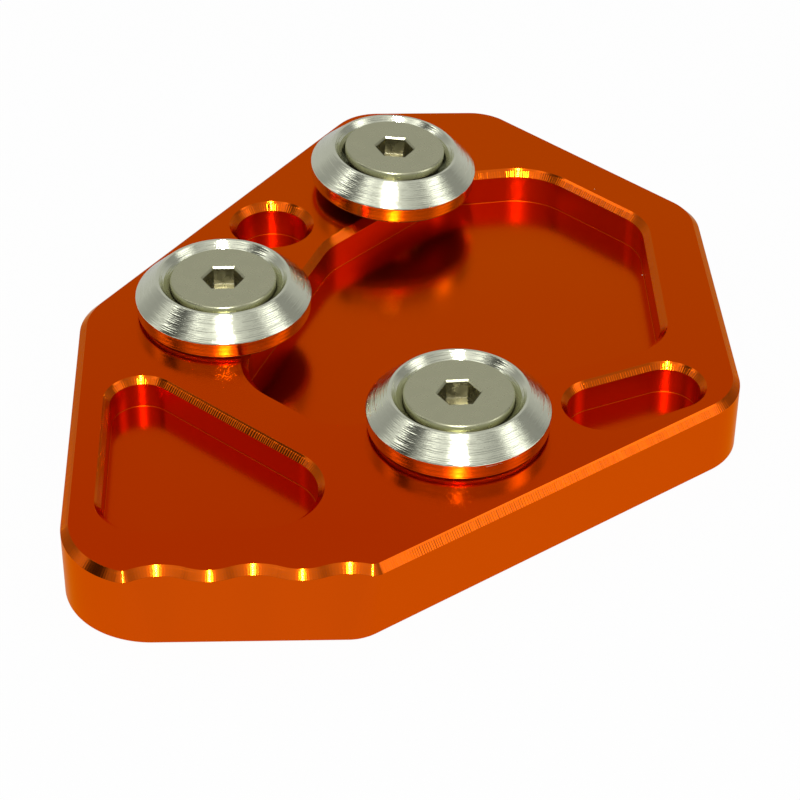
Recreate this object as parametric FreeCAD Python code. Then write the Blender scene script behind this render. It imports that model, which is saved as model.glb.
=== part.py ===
import FreeCAD, Part
import math
import os

# Kickstand foot enlarger: a milled and anodised aluminium plate with blind
# pockets, three turned clamp washers and three flush hexagon socket screws.
# Millimetres, +Z up. The plate's underside is z = 0 and the origin is under
# the middle of its outline; +Y points away from the scalloped front edge.
# Edges are given as seen from above, going round clockwise: each has the
# direction of travel in degrees (0 is +X), its distance from the origin and
# the radius of the corner at its end. Places in the plan are measured from
# the plate's left or right side and from its front or back edge.

# Plate
plate_length = 90.24
plate_thickness = 8.7
edge_chamfer = 0.85
bottom_break = 0.25
cut_angle = 45.0
cut_start_from_right = 24.12
right_lean = 1.5
right_distance = 36.42
front_right_angle = 34.65
front_right_end_from_left = 31.35
left_lean = 0.58
left_distance = 36.83
back_left_angle = 54.5
back_left_end_from_left = 31.27
back_right_radius = 6.9
right_back_radius = 7.2
right_front_radius = 7.7
front_right_radius = 4.9
front_left_radius = 9.55
left_radius = 8.2
back_left_radius = 6.5

# Scalloped front edge: hollows that run out before the underside
scallop_pitch = 9.5
scallop_depth = 1.45
scallop_radius = 6.2
crest_radius = 6.2
end_crest_radius = 2.0
middle_scallop_from_left = 20.43

# Main pocket, where the stand's foot sits
main_depth = 4.3
main_chamfer = 0.8
main_right_wall = 6.6
main_cut_wall = 5.9
main_left_angle = 67.2
main_left_from_left = 21.23
main_slant_angle = 45.0
main_slant_from_back = 20.65
main_top_angle = 8.0
main_top_from_back = 16.04
main_near_angle = 22.0
main_near_from_front = 27.0
main_corner_from_front = 16.19
main_left_radius = 8.5
main_slant_radius = 8.0
main_hidden_radius = 8.0
main_top_radius = 9.0
main_cut_radius = 7.0
main_right_radius = 6.5
main_near_radius = 6.5

# Three-cornered pocket at the front left
triangle_depth = 3.7
triangle_chamfer = 0.7
triangle_left_wall = 3.35
triangle_front_wall = 7.55
triangle_slope = 42.0
triangle_rib = 5.1
triangle_top_radius = 4.2
triangle_front_right_radius = 7.0
triangle_front_left_radius = 5.1

# Tapered slot at the right
slot_depth = 3.75
slot_chamfer = 0.68
slot_right_from_right = 8.02
slot_right_from_front = 31.32
slot_right_radius = 4.4
slot_left_from_right = 15.22
slot_left_from_front = 28.02
slot_left_radius = 4.7

# Round recess at the back left
recess_from_left = 21.51
recess_from_back = 26.15
recess_radius = 5.04
recess_chamfer = 0.85
recess_depth = 4.2

# Clamp places
front_clamp_from_left = 41.95
front_clamp_from_front = 24.51
left_clamp_from_left = 16.3
left_clamp_y = 1.33
back_clamp_from_left = 35.88
back_clamp_from_back = 17.57
front_socket_turn = 3.0
left_socket_turn = 0.0
back_socket_turn = -3.0

# The back clamp sits loose and tipped: its low side hangs over the pocket
back_tilt = 4.1
back_low_direction = -8.0
back_screw_lift = 0.35

# Clamp washer, turned, with a conical seat for the screw's head
washer_radius = 10.0
washer_height = 4.7
foot_radius = 9.3
foot_height = 0.5
band_taper = 0.15
band_height = 1.85
edge_break = 0.12
ridge_radius = 7.55
washer_bore_radius = 3.4

# Flush screw, its thread modelled plain at the root
head_radius = 6.0
head_land = 1.05
head_edge_radius = 0.35
head_recess = 0.2
seat_angle = 45.0
shank_radius = 2.45
shank_end_height = 3.2
shank_end_chamfer = 0.5
socket_across_flats = 4.0
socket_depth = 2.3
socket_drill_depth = 0.7
socket_rim_chamfer = 0.3
seat_clearance = 0.04
thread_clearance = 0.23
hole_mouth_chamfer = 0.4

overshoot = 1.0
match_tolerance = 0.01

front_y = -plate_length / 2
back_y = plate_length / 2
left_x = -left_distance
right_x = right_distance
recess_x = left_x + recess_from_left
recess_y = back_y - recess_from_back


def at_angle(degrees):
    """Unit vector in the plate's plane."""
    turn = math.radians(degrees)
    return FreeCAD.Vector(math.cos(turn), math.sin(turn), 0)


def outward(direction):
    """Outward normal of an edge that is travelled clockwise."""
    return at_angle(direction + 90)


def lifted(point, height):
    return FreeCAD.Vector(point.x, point.y, height)


def reach_through(direction, x, y):
    """Distance from the origin of an edge that passes through a point."""
    return outward(direction).dot(FreeCAD.Vector(x, y, 0))


def line(start, end):
    return Part.LineSegment(start, end).toShape()


def arc_about(centre, radius, first, last):
    """Arc under a half turn about centre, between two unit directions."""
    middle = (first + last).normalize()
    points = [centre + way * radius for way in (first, middle, last)]
    return Part.Arc(*points).toShape()


def corner_centre(edge, following):
    """Centre of the round between two edges, each (direction, distance, radius)."""
    radius = edge[2]
    first, second = outward(edge[0]), outward(following[0])
    near, far = edge[1] - radius, following[1] - radius
    spread = first.x * second.y - first.y * second.x
    x = (near * second.y - far * first.y) / spread
    y = (first.x * far - second.x * near) / spread
    return FreeCAD.Vector(x, y, 0)


def rounded_outline(edges, inset, height):
    """Closed wire round the edges with every corner rounded, moved in by inset."""
    count = len(edges)
    rounds = []
    for index, edge in enumerate(edges):
        following = edges[(index + 1) % count]
        centre = lifted(corner_centre(edge, following), height)
        rounds.append((centre, edge[2] - inset, outward(edge[0]), outward(following[0])))
    pieces = []
    for index, (centre, radius, first, last) in enumerate(rounds):
        before = rounds[index - 1]
        pieces.append(line(before[0] + before[3] * before[1], centre + first * radius))
        pieces.append(arc_about(centre, radius, first, last))
    return Part.Wire(pieces)


def slot_outline(inset, height):
    """Closed wire round two ends of different radius and their tangents."""
    left = FreeCAD.Vector(right_x - slot_left_from_right, front_y + slot_left_from_front, height)
    right = FreeCAD.Vector(right_x - slot_right_from_right, front_y + slot_right_from_front, height)
    along = right - left
    axis = math.degrees(math.atan2(along.y, along.x))
    taper = math.degrees(math.asin((slot_left_radius - slot_right_radius) / along.Length))
    far, near = at_angle(axis + 90 - taper), at_angle(axis - 90 + taper)
    left_radius_here = slot_left_radius - inset
    right_radius_here = slot_right_radius - inset
    tip = at_angle(axis)
    ends = [
        Part.Arc(right + far * right_radius_here, right + tip * right_radius_here,
                 right + near * right_radius_here).toShape(),
        Part.Arc(left + near * left_radius_here, left - tip * left_radius_here,
                 left + far * left_radius_here).toShape(),
    ]
    sides = [
        line(left + far * left_radius_here, right + far * right_radius_here),
        line(right + near * right_radius_here, left + near * left_radius_here),
    ]
    return Part.Wire([sides[0], ends[0], sides[1], ends[1]])


def circle_outline(x, y, radius, height):
    place = FreeCAD.Vector(x, y, height)
    return Part.Wire(Part.makeCircle(radius, place))


def lofted(lower, upper):
    """Solid between two wires that have the same edges in the same order."""
    return Part.makeLoft([lower, upper], True, True)


def pocket(outline, depth, chamfer):
    """Cutter for a blind pocket: outline(inset, height) gives the rim moved in."""
    top = plate_thickness
    walls = lofted(outline(chamfer, top - depth), outline(chamfer, top - chamfer))
    rim = lofted(outline(chamfer, top - chamfer), outline(0, top))
    cap = lofted(outline(0, top), outline(0, top + overshoot))
    return walls.fuse([rim, cap])


# Plate outline

cut_distance = reach_through(-cut_angle, right_x - cut_start_from_right, back_y)
front_right_way = -180 + front_right_angle
front_right_distance = reach_through(front_right_way, left_x + front_right_end_from_left, front_y)
back_left_distance = reach_through(back_left_angle, left_x + back_left_end_from_left, back_y)

back = (0, back_y, back_right_radius)
corner_cut = (-cut_angle, cut_distance, right_back_radius)
right = (-90 + right_lean, right_distance, right_front_radius)
front_right = (front_right_way, front_right_distance, front_right_radius)
front = (180, -front_y, front_left_radius)
left = (90 + left_lean, left_distance, left_radius)
back_left = (back_left_angle, back_left_distance, back_left_radius)
plate_edges = [back, corner_cut, right, front_right, front, left, back_left]


def meeting_point(centre_a, reach_a, centre_b, reach_b, side):
    """Point at reach_a from one centre and reach_b from the other, on one side."""
    between = centre_b - centre_a
    apart = between.Length
    along = (apart ** 2 + reach_a ** 2 - reach_b ** 2) / (2 * apart)
    across = math.sqrt(reach_a ** 2 - along ** 2)
    way = between.normalize()
    return centre_a + way * along + FreeCAD.Vector(-way.y, way.x, 0) * across * side


def scallop_rounds():
    """Centres along the front edge, from right to left: end crest, hollows
    with a crest between each pair, end crest."""
    hollow_y = front_y + scallop_depth - scallop_radius
    middle_x = left_x + middle_scallop_from_left
    hollows = []
    for step in (1, 0, -1):
        hollows.append(FreeCAD.Vector(middle_x + step * scallop_pitch, hollow_y, 0))
    reach = scallop_radius + crest_radius
    crest_rise = math.sqrt(reach ** 2 - (scallop_pitch / 2) ** 2)
    crests = []
    for hollow in hollows[:-1]:
        crests.append(hollow + FreeCAD.Vector(-scallop_pitch / 2, crest_rise, 0))

    # The right end crest is tangent to the slanted edge and to its hollow
    end_reach = scallop_radius + end_crest_radius
    normal = outward(front_right[0])
    foot = normal * (front_right[1] - end_crest_radius)
    along = at_angle(front_right[0])
    offset = (hollows[0] - foot).dot(along)
    across = (hollows[0] - foot).dot(normal)
    right_end = foot + along * (offset - math.sqrt(end_reach ** 2 - across ** 2))

    # The left end crest is tangent to the corner's round and to its hollow
    corner = corner_centre(front, left)
    inner_reach = front_left_radius - end_crest_radius
    left_end = meeting_point(corner, inner_reach, hollows[-1], end_reach, -1)
    return right_end, hollows, crests, left_end, corner


def front_edge(inset, height, wavy):
    """Edges from the end of the slanted edge to the end of the left corner."""
    right_end, hollows, crests, left_end, corner = scallop_rounds()
    blend = (left_end - corner).normalize()
    slant_normal, front_normal, left_normal = outward(front_right[0]), outward(front[0]), outward(left[0])
    rest_of_corner = arc_about(lifted(corner, height), front_left_radius - inset, blend, left_normal)
    if wavy:
        rounds = [(right_end, end_crest_radius - inset)]
        for index, hollow in enumerate(hollows):
            rounds.append((hollow, -scallop_radius - inset))
            if index < len(crests):
                rounds.append((crests[index], crest_radius - inset))
        rounds.append((left_end, end_crest_radius - inset))
        pieces = []
        incoming = slant_normal
        for index, (centre, radius) in enumerate(rounds):
            leaving = blend
            if index + 1 < len(rounds):
                following = rounds[index + 1][0]
                towards = (following - centre).normalize()
                leaving = towards if radius > 0 else towards.multiply(-1)
            pieces.append(arc_about(lifted(centre, height), radius, incoming, leaving))
            incoming = leaving
        return pieces + [rest_of_corner]
    start = corner_centre(front_right, front)
    y = front_y + inset
    half = scallop_pitch / 4
    stops = [start.x]
    for hollow, crest in zip(hollows, crests):
        stops += [(hollow.x + crest.x) / 2, crest.x - half]
    stops.append(corner.x)
    pieces = [arc_about(lifted(start, height), front_right_radius - inset, slant_normal, front_normal)]
    for first, last in zip(stops, stops[1:]):
        pieces.append(line(FreeCAD.Vector(first, y, height), FreeCAD.Vector(last, y, height)))
    pieces.append(arc_about(lifted(corner, height), front_left_radius - inset, front_normal, blend))
    return pieces + [rest_of_corner]


def plate_outline(inset, height, wavy):
    """Plate's outline moved in by inset, with or without the scallops."""
    run = front_edge(inset, height, wavy)
    pieces = []
    others = [left, back_left, back, corner_cut, right, front_right]
    last_end = run[-1].Vertexes[-1].Point
    for edge, following in zip(others, others[1:]):
        centre = lifted(corner_centre(edge, following), height)
        radius = edge[2] - inset
        pieces.append(line(last_end, centre + outward(edge[0]) * radius))
        pieces.append(arc_about(centre, radius, outward(edge[0]), outward(following[0])))
        last_end = centre + outward(following[0]) * radius
    pieces.append(line(last_end, run[0].Vertexes[0].Point))
    return Part.Wire(pieces + run)


# Plate with its pockets and screw holes

main_near_way = -180 + main_near_angle
main_corner_way = 180 - triangle_slope
main_left_distance = reach_through(main_left_angle, left_x + main_left_from_left, 0)
main_slant_distance = reach_through(main_slant_angle, 0, back_y - main_slant_from_back)
main_top_distance = reach_through(main_top_angle, 0, back_y - main_top_from_back)
main_near_distance = reach_through(main_near_way, 0, front_y + main_near_from_front)
main_corner_distance = reach_through(main_corner_way, 0, front_y + main_corner_from_front)
main_edges = [
    (main_left_angle, main_left_distance, main_slant_radius),
    (main_slant_angle, main_slant_distance, main_hidden_radius),
    (main_top_angle, main_top_distance, main_top_radius),
    (-cut_angle, cut_distance - main_cut_wall, main_cut_radius),
    (-90, right_distance - main_right_wall, main_right_radius),
    (main_near_way, main_near_distance, main_near_radius),
    (main_corner_way, main_corner_distance, main_left_radius),
]
triangle_edges = [
    (90 + left_lean, left_distance - triangle_left_wall, triangle_top_radius),
    (-triangle_slope, -main_corner_distance - triangle_rib, triangle_front_right_radius),
    (180, -front_y - triangle_front_wall, triangle_front_left_radius),
]
clamps = {
    "front": (left_x + front_clamp_from_left, front_y + front_clamp_from_front, front_socket_turn),
    "left": (left_x + left_clamp_from_left, left_clamp_y, left_socket_turn),
    "back": (left_x + back_clamp_from_left, back_y - back_clamp_from_back, back_socket_turn),
}
hole_radius = shank_radius + thread_clearance


def plate_body():
    chamfer_start = plate_thickness - edge_chamfer
    foot = lofted(plate_outline(bottom_break, 0, False), plate_outline(0, bottom_break, False))
    wall = lofted(plate_outline(0, bottom_break, False), plate_outline(0, chamfer_start, True))
    rim = lofted(plate_outline(0, chamfer_start, True), plate_outline(edge_chamfer, plate_thickness, True))
    return foot.fuse([wall, rim])


def screw_hole(x, y):
    """Through hole with a chamfered mouth underneath."""
    base = FreeCAD.Vector(x, y, -overshoot)
    bore = Part.makeCylinder(hole_radius, plate_thickness + 2 * overshoot, base)
    wide = hole_radius + hole_mouth_chamfer
    mouth = Part.makeCone(wide, hole_radius, hole_mouth_chamfer, FreeCAD.Vector(x, y, 0))
    return bore.fuse(mouth)


def base_plate():
    def round_recess(inset, height):
        return circle_outline(recess_x, recess_y, recess_radius - inset, height)

    def main_rim(inset, height):
        return rounded_outline(main_edges, inset, height)

    def triangle_rim(inset, height):
        return rounded_outline(triangle_edges, inset, height)

    cutters = [
        pocket(main_rim, main_depth, main_chamfer),
        pocket(triangle_rim, triangle_depth, triangle_chamfer),
        pocket(slot_outline, slot_depth, slot_chamfer),
        pocket(round_recess, recess_depth, recess_chamfer),
    ]
    for x, y, turn in clamps.values():
        cutters.append(screw_hole(x, y))
    return plate_body().cut(cutters).removeSplitter()


# Clamp washer and screw, made about the z axis with the plate's top at z = 0

def turned(profile):
    """Solid of revolution about the z axis from (radius, height) points."""
    points = [FreeCAD.Vector(radius, 0, height) for radius, height in profile]
    face = Part.Face(Part.makePolygon(points + [points[0]]))
    return face.revolve(FreeCAD.Vector(0, 0, 0), FreeCAD.Vector(0, 0, 1), 360)


head_top = washer_height - head_recess
land_bottom = head_top - head_land
cone_height = (head_radius - shank_radius) / math.tan(math.radians(seat_angle))
cone_bottom = land_bottom - cone_height


def seat_radius(height):
    """Radius of the washer's conical seat at a height above the plate."""
    slope = math.tan(math.radians(seat_angle))
    return head_radius + seat_clearance / math.cos(math.radians(seat_angle)) + (height - land_bottom) * slope


def clamp_washer():
    band_top = foot_height + band_height
    throat = land_bottom - (seat_radius(land_bottom) - washer_bore_radius) / math.tan(math.radians(seat_angle))
    return turned([
        (washer_bore_radius, 0),
        (foot_radius, 0),
        (foot_radius, foot_height),
        (washer_radius - band_taper - edge_break, foot_height),
        (washer_radius - band_taper, foot_height + edge_break),
        (washer_radius, band_top),
        (ridge_radius, washer_height),
        (seat_radius(washer_height), washer_height),
        (washer_bore_radius, throat),
    ])


def clamp_screw():
    tip = shank_end_height - plate_thickness
    body = turned([
        (0, tip),
        (shank_radius - shank_end_chamfer, tip),
        (shank_radius, tip + shank_end_chamfer),
        (shank_radius, cone_bottom),
        (head_radius, land_bottom),
        (head_radius, head_top),
        (0, head_top),
    ])
    rim = [edge for edge in body.Edges if is_head_rim(edge)]
    body = body.makeFillet(head_edge_radius, rim)
    return body.cut(hexagon_socket())


def is_head_rim(edge):
    box = edge.BoundBox
    flat = box.ZLength < match_tolerance
    at_top = abs(box.ZMax - head_top) < match_tolerance
    return flat and at_top and box.XLength > head_radius


def hexagon_socket():
    """Cutter: hexagon with corners on the x axis, drilled point, chamfered rim."""
    corner_radius = socket_across_flats / 2 / math.cos(math.radians(30))
    floor = head_top - socket_depth
    ring = [at_angle(60 * step) * corner_radius + FreeCAD.Vector(0, 0, floor) for step in range(7)]
    prism = Part.Face(Part.makePolygon(ring)).extrude(FreeCAD.Vector(0, 0, socket_depth + overshoot))
    drill = socket_across_flats / 2
    point = Part.makeCone(0, drill, socket_drill_depth, FreeCAD.Vector(0, 0, floor - socket_drill_depth))
    mouth = turned([
        (0, head_top - socket_rim_chamfer),
        (corner_radius - socket_rim_chamfer, head_top - socket_rim_chamfer),
        (corner_radius + overshoot, head_top + overshoot),
        (0, head_top + overshoot),
    ])
    return prism.fuse([point, mouth])


def seated(shape, x, y):
    """Shape moved from the z axis to a place on the plate's top."""
    moved = shape.copy()
    moved.translate(FreeCAD.Vector(x, y, plate_thickness))
    return moved


def support_reach(plate, x, y):
    """How far the plate's top under a washer's foot reaches towards its low side."""
    foot = Part.Face(circle_outline(x, y, foot_radius, plate_thickness))
    contact = foot.common(plate)
    contact.translate(FreeCAD.Vector(-x, -y, 0))
    contact.rotate(FreeCAD.Vector(0, 0, 0), FreeCAD.Vector(0, 0, 1), -back_low_direction)
    return contact.optimalBoundingBox(False).XMax


def tip_over(plate, x, y, washer, screw):
    """Lean a clamp until its low side rests on the last of the plate under it,
    with the screw's axis crossing the hole's halfway along the buried shank."""
    low_side = at_angle(back_low_direction)
    buried = plate_thickness - shank_end_height
    lean = low_side * (buried / 2 * math.tan(math.radians(back_tilt)))
    reach = support_reach(plate, x + lean.x, y + lean.y)
    pivot = FreeCAD.Vector(x, y, plate_thickness) + lean + low_side * reach
    for shape in (washer, screw):
        shape.translate(lean)
        shape.rotate(pivot, at_angle(back_low_direction + 90), back_tilt)


def nodes():
    plate = base_plate()
    parts = {"base_plate": plate}
    for name, (x, y, turn) in clamps.items():
        washer = seated(clamp_washer(), x, y)
        screw = seated(clamp_screw(), x, y)
        screw.rotate(FreeCAD.Vector(x, y, 0), FreeCAD.Vector(0, 0, 1), turn)
        if name == "back":
            screw.translate(FreeCAD.Vector(0, 0, back_screw_lift))
            tip_over(plate, x, y, washer, screw)
        parts["clamp_washer_" + name] = washer
        parts["clamp_screw_" + name] = screw
    return {name: shape.Solids[0] for name, shape in parts.items()}


os.makedirs("parts", exist_ok=True)
for name, shape in nodes().items():
    box = shape.BoundBox
    print(name, shape.ShapeType, shape.isValid(), len(shape.Solids), round(shape.Volume, 2),
          [round(value, 2) for value in (box.XMin, box.XMax, box.YMin, box.YMax, box.ZMin, box.ZMax)])
    shape.exportStep("parts/" + name + ".step")
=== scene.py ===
"""Looks of the kickstand foot enlarger: anodised plate, turned washers, flush screws."""
import logging
import math
from collections.abc import Callable
from dataclasses import dataclass, field
from enum import Enum

import bmesh
import bpy
from mathutils import Matrix, Vector
from mathutils.kdtree import KDTree


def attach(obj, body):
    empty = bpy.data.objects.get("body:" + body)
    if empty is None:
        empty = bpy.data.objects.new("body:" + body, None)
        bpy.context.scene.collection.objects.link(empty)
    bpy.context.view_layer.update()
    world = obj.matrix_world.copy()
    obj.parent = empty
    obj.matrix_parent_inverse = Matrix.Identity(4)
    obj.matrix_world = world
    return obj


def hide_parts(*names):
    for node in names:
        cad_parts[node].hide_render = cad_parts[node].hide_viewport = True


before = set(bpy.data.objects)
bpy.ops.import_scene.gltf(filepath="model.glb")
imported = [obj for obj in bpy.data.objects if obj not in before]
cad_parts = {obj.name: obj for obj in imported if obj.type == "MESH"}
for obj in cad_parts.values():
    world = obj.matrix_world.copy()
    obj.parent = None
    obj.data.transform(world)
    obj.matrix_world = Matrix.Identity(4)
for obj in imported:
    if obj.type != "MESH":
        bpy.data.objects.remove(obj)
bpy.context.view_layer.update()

Piece = bpy.types.Object
Material = bpy.types.Material
NodeTree = bpy.types.NodeTree
Socket = bpy.types.NodeSocket
Value = Socket | float | tuple
MILLIMETRE = 0.001
ALONG = "along"
# Attribute that says where shade is painted on the screws.
PAINTED_SHADE = "painted_shade"
LOCAL = "local"
UP = Vector((0, 0, 1))
CLOSE = 1e-3
VERY_CLOSE = 1e-4
FLAT_ANGLE = 0.4
SMOOTH_ANGLE = 48.0
FACE_WEIGHT = 50
logging.basicConfig(level=logging.INFO, format="%(message)s")
log = logging.getLogger("enlarger")


class Body(Enum):
    """Bodies that a piece can ride on."""

    ROOT = "root"


class Slot(Enum):
    """Material slots of the record."""

    PLATE = "anodised_plate"
    WASHER = "turned_washer"
    SCREW = "screw_steel"


def in_plan(degrees: float) -> Vector:
    """Unit vector in the plate's plane."""
    turn = math.radians(degrees)
    return Vector((math.cos(turn), math.sin(turn), 0.0))


# Drawing and modelling


def weld(distance: float) -> None:
    """Select the whole mesh and merge the vertices that meet."""
    bpy.ops.mesh.select_all(action="SELECT")
    bpy.ops.mesh.remove_doubles(threshold=distance)


def spin_round(steps: int, distance: float) -> None:
    """Spin the whole profile once round the vertical and close its seam.

    Args:
        steps: Faces round the turn.
        distance: How close the seam's vertices lie, in millimetres.
    """
    bpy.ops.mesh.select_all(action="SELECT")
    bpy.ops.mesh.spin(steps=steps, angle=math.tau, center=(0, 0, 0), axis=tuple(UP))
    weld(distance)


class Pen:
    """Draws a chain of edges by extruding and spinning one vertex, in millimetres."""

    def __init__(self, name: str, start: Vector) -> None:
        """Start a new mesh at one vertex.

        Args:
            name: Name of the object.
            start: Place of the first vertex.
        """
        bpy.ops.object.select_all(action="DESELECT")
        bpy.ops.mesh.primitive_plane_add(size=1.0)
        self.piece = bpy.context.active_object
        self.piece.name = name
        bpy.ops.object.mode_set(mode="EDIT")
        bpy.ops.mesh.select_mode(type="VERT")
        bpy.ops.mesh.select_all(action="SELECT")
        bpy.ops.mesh.merge(type="CENTER")
        bpy.ops.transform.translate(value=tuple(start))
        self.place = start.copy()
        self.trail = [start.copy()]

    def line(self, end: Vector, steps: int = 1) -> None:
        """Draw a straight run.

        Args:
            end: Place of its end.
            steps: How many edges it has.
        """
        stride = (end - self.place) / steps
        for _ in range(steps):
            bpy.ops.mesh.extrude_vertices_move(TRANSFORM_OT_translate={"value": tuple(stride)})
            self.trail.append(self.trail[-1] + stride)
        self.place = end.copy()

    def arc(self, centre: Vector, degrees: float, steps: int) -> None:
        """Draw an arc round the vertical from the present place.

        Args:
            centre: Centre of the arc.
            degrees: Its turn, anticlockwise seen from above.
            steps: How many edges it has.
        """
        turn = math.radians(degrees)
        bpy.ops.mesh.spin(steps=steps, angle=-turn, center=tuple(centre), axis=tuple(UP))
        stride = Matrix.Rotation(turn / steps, 3, UP)
        for _ in range(steps):
            self.place = centre + stride @ (self.place - centre)
            self.trail.append(self.place.copy())

    def fill(self) -> Piece:
        """Close the chain and fill it.

        Returns:
            The object, still in edit mode with its face selected.
        """
        weld(CLOSE)
        bpy.ops.mesh.edge_face_add()
        return self.piece


def measure_along(piece: Piece) -> None:
    """Write each vertex's distance along its drawn loop into an attribute.

    Args:
        piece: An object in edit mode that holds one closed chain, in drawn order.
    """
    mesh = bmesh.from_edit_mesh(piece.data)
    layer = mesh.verts.layers.float.get(ALONG) or mesh.verts.layers.float.new(ALONG)
    mesh.verts.ensure_lookup_table()
    seen = set()
    vertex, run = mesh.verts[0], 0.0
    while vertex is not None:
        vertex[layer] = run
        seen.add(vertex)
        nearby = [edge.other_vert(vertex) for edge in vertex.link_edges]
        following = next((other for other in nearby if other not in seen), None)
        if following is not None:
            run += (following.co - vertex.co).length
        vertex = following
    bmesh.update_edit_mesh(piece.data)


def mark_along(piece: Piece, trails: list[list[Vector]], nearest: int = 4) -> None:
    """Write each vertex's distance along the nearest drawn outline into an attribute.

    Args:
        piece: The object, in object mode and in millimetres.
        trails: Points of each closed outline, in drawn order. Each starts with a straight run.
        nearest: How many of the nearest ends of edges are looked at.
    """
    corners = []
    for trail in trails:
        run = 0.0
        # The count starts inside the last arc, which keeps its seam off the straight runs.
        trail = trail[-3:-1] + trail[:-2]
        for first, second in zip(trail, trail[1:]):
            corners.append((first.to_2d(), second.to_2d(), run))
            run += (second - first).length
    tree = KDTree(2 * len(corners))
    for number, (first, second, _) in enumerate(corners):
        tree.insert(first.to_3d(), number)
        tree.insert(second.to_3d(), number)
    tree.balance()
    runs = []
    for vertex in piece.data.vertices:
        spot = vertex.co.to_2d()
        best = (math.inf, 0.0)
        for _, number, _ in tree.find_n(spot.to_3d(), nearest):
            first, second, run = corners[number]
            edge = second - first
            share = min(1.0, max(0.0, (spot - first).dot(edge) / edge.length_squared))
            best = min(best, ((first + edge * share - spot).length, run + share * edge.length))
        runs.append(best[1])
    piece.data.attributes.new(ALONG, "FLOAT", "POINT").data.foreach_set("value", runs)


def select_parts(piece: Piece, kind: str, wanted: Callable) -> None:
    """Select, in edit mode, just the parts of the mesh that a test accepts.

    Args:
        piece: The object being edited.
        kind: VERT, EDGE or FACE.
        wanted: Takes a part and says whether it is wanted.
    """
    bpy.ops.mesh.select_mode(type=kind)
    bpy.ops.mesh.select_all(action="DESELECT")
    mesh = bmesh.from_edit_mesh(piece.data)
    for part in {"VERT": mesh.verts, "EDGE": mesh.edges, "FACE": mesh.faces}[kind]:
        part.select_set(bool(wanted(part)))
    bmesh.update_edit_mesh(piece.data)


def face_up(piece: Piece, upwards: bool) -> None:
    """Select the faces of a flat outline and make them face up or down.

    Args:
        piece: The object being edited.
        upwards: Whether they face up.
    """
    bpy.ops.mesh.select_mode(type="FACE")
    bpy.ops.mesh.select_all(action="SELECT")
    mesh = bmesh.from_edit_mesh(piece.data)
    if any((face.normal.z > 0) != upwards for face in mesh.faces):
        bpy.ops.mesh.flip_normals()


def leave_edit_mode(piece: Piece) -> Piece:
    """Make faces point outwards and go back to object mode.

    Args:
        piece: The object being edited.

    Returns:
        The same object.
    """
    bpy.ops.mesh.select_all(action="SELECT")
    bpy.ops.mesh.normals_make_consistent(inside=False)
    bpy.ops.object.mode_set(mode="OBJECT")
    return piece


def only(piece: Piece) -> None:
    """Select and activate one object.

    Args:
        piece: The object.
    """
    bpy.ops.object.select_all(action="DESELECT")
    piece.select_set(True)
    bpy.context.view_layer.objects.active = piece


def apply_modifier(piece: Piece, kind: str, **settings: object) -> None:
    """Add one modifier and apply it.

    Args:
        piece: The object that gets it.
        kind: Blender's name of the modifier.
        settings: Its values.
    """
    only(piece)
    modifier = piece.modifiers.new(kind.lower(), kind)
    for name, value in settings.items():
        setattr(modifier, name, value)
    bpy.ops.object.modifier_apply(modifier=modifier.name)


def cut_with(piece: Piece, cutter: Piece) -> None:
    """Cut one solid out of another and delete the cutter."""
    apply_modifier(piece, "BOOLEAN", operation="DIFFERENCE", solver="EXACT", object=cutter)
    bpy.data.objects.remove(cutter)


def shade(piece: Piece, degrees: float) -> None:
    """Shade a piece smooth over the edges that are flatter than an angle.

    Args:
        piece: The object.
        degrees: The angle.
    """
    only(piece)
    bpy.ops.object.shade_smooth_by_angle(angle=math.radians(degrees))
    apply_modifier(piece, "WEIGHTED_NORMAL", keep_sharp=True, weight=FACE_WEIGHT)


def break_edges(piece: Piece, width: float, sharp: float) -> None:
    """Round every sharp edge a little and shade the piece smooth.

    Args:
        piece: The object.
        width: Width of the broken edge, in millimetres.
        sharp: The least angle in degrees at which an edge counts as sharp.
    """
    only(piece)
    bpy.ops.object.mode_set(mode="EDIT")
    bpy.ops.mesh.select_all(action="SELECT")
    bpy.ops.mesh.dissolve_limited(angle_limit=math.radians(FLAT_ANGLE))
    bpy.ops.object.mode_set(mode="OBJECT")
    apply_modifier(piece, "BEVEL", width=width, segments=2, limit_method="ANGLE",
                   angle_limit=math.radians(sharp), use_clamp_overlap=True, harden_normals=False)
    shade(piece, SMOOTH_ANGLE)


def keep_local(piece: Piece) -> None:
    """Write each vertex's place about the piece's own axis into an attribute."""
    places = [value for vertex in piece.data.vertices for value in vertex.co]
    piece.data.attributes.new(LOCAL, "FLOAT_VECTOR", "POINT").data.foreach_set("vector", places)


def to_metres(piece: Piece, place: Matrix = Matrix.Identity(4)) -> None:
    """Turn and move a piece modelled in millimetres to its place, then scale it to metres."""
    piece.data.transform(Matrix.Scale(MILLIMETRE, 4) @ place)
    piece.data.update()


def hand_over(piece: Piece, node: str, finish: Material) -> None:
    """Give a finished piece its material and body, in the place of a CAD node.

    Args:
        piece: The finished object.
        node: The CAD node that it stands for.
        finish: The piece's material.
    """
    piece.data.materials.clear()
    piece.data.materials.append(finish)
    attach(piece, Body.ROOT.value)
    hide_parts(node)
    log.info("%s: %d faces, stands for %s", piece.name, len(piece.data.polygons), node)


# Outlines


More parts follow.
